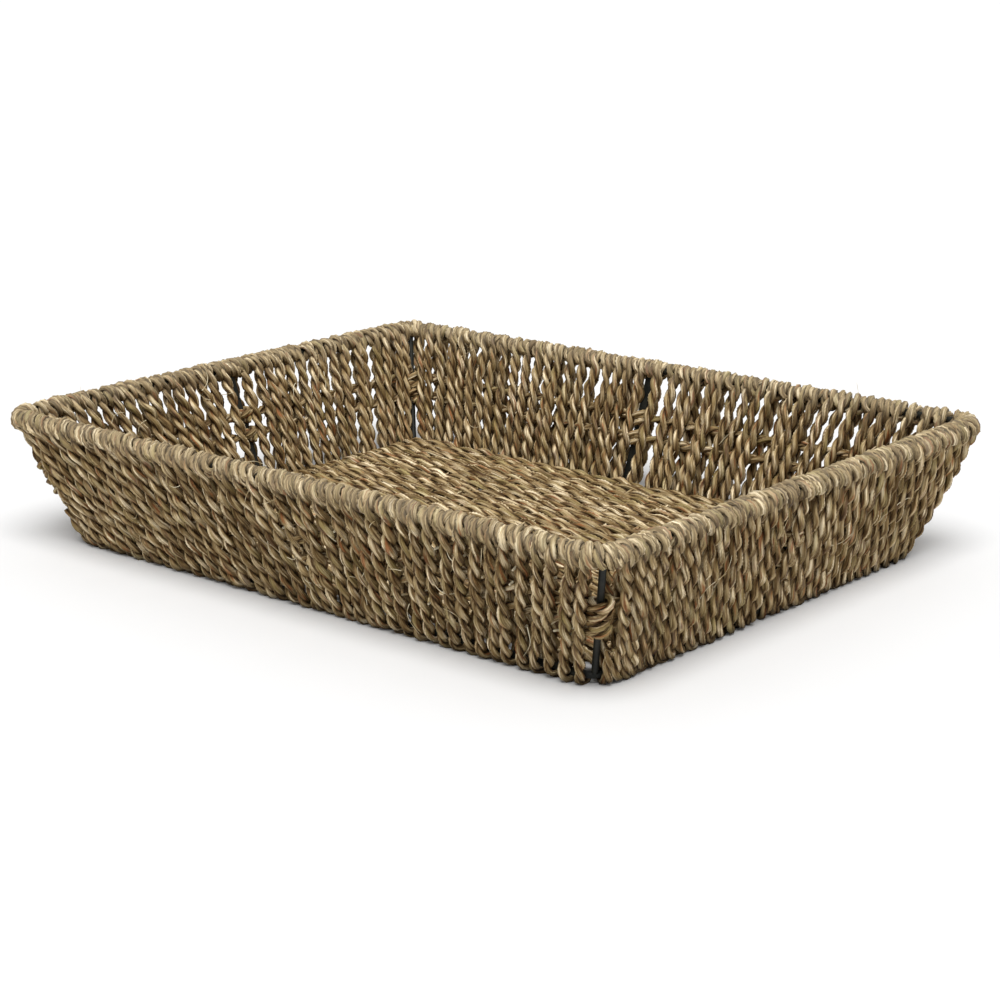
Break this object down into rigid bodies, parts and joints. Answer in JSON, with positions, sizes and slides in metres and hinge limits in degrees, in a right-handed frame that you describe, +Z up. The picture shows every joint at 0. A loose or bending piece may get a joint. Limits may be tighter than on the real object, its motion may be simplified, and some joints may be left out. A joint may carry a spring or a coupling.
{
  "type": "bread basket",
  "caption": "Shallow open rectangular bread basket with flared sides, twisted seagrass rope wound on a black wire frame.",
  "frame": {"origin": "centre of the footprint, on the surface that the basket stands on", "axes": "+X along the length, +Y across the width, +Z up; the front wall is at -Y"},
  "size_m": [0.46, 0.355, 0.084],
  "materials": {
    "frame_paint": "satin black paint",
    "seagrass": "dry twisted seagrass"
  },
  "bodies": {
    "root": {"band_cord_lower_back_left": "seagrass", "band_cord_lower_back_right": "seagrass", "band_cord_lower_front_left": "seagrass", "band_cord_lower_front_right": "seagrass", "band_cord_lower_left_back": "seagrass", "band_cord_lower_left_front": "seagrass", "band_cord_lower_right_back": "seagrass", "band_cord_lower_right_front": "seagrass", "band_cord_upper_back_left": "seagrass", "band_cord_upper_back_right": "seagrass", "band_cord_upper_front_left": "seagrass", "band_cord_upper_front_right": "seagrass", "band_cord_upper_left_back": "seagrass", "band_cord_upper_left_front": "seagrass", "band_cord_upper_right_back": "seagrass", "band_cord_upper_right_front": "seagrass", "base_cross_bar_left": "frame_paint", "base_cross_bar_middle": "frame_paint", "base_cross_bar_right": "frame_paint", "base_mat": "seagrass", "base_wire": "frame_paint", "corner_lashing_back_left": "seagrass", "corner_lashing_back_right": "seagrass", "corner_lashing_front_left": "seagrass", "corner_lashing_front_right": "seagrass", "corner_upright_back_left": "frame_paint", "corner_upright_back_right": "frame_paint", "corner_upright_front_left": "frame_paint", "corner_upright_front_right": "frame_paint", "rim_wire": "frame_paint", "side_lashing_back": "seagrass", "side_lashing_front": "seagrass", "side_lashing_left": "seagrass", "side_lashing_right": "seagrass", "side_upright_back": "frame_paint", "side_upright_front": "frame_paint", "side_upright_left": "frame_paint", "side_upright_right": "frame_paint", "winding_back_left": "seagrass", "winding_back_right": "seagrass", "winding_front_left": "seagrass", "winding_front_right": "seagrass", "winding_left_back": "seagrass", "winding_left_front": "seagrass", "winding_right_back": "seagrass", "winding_right_front": "seagrass"}
  },
  "joints": []
}
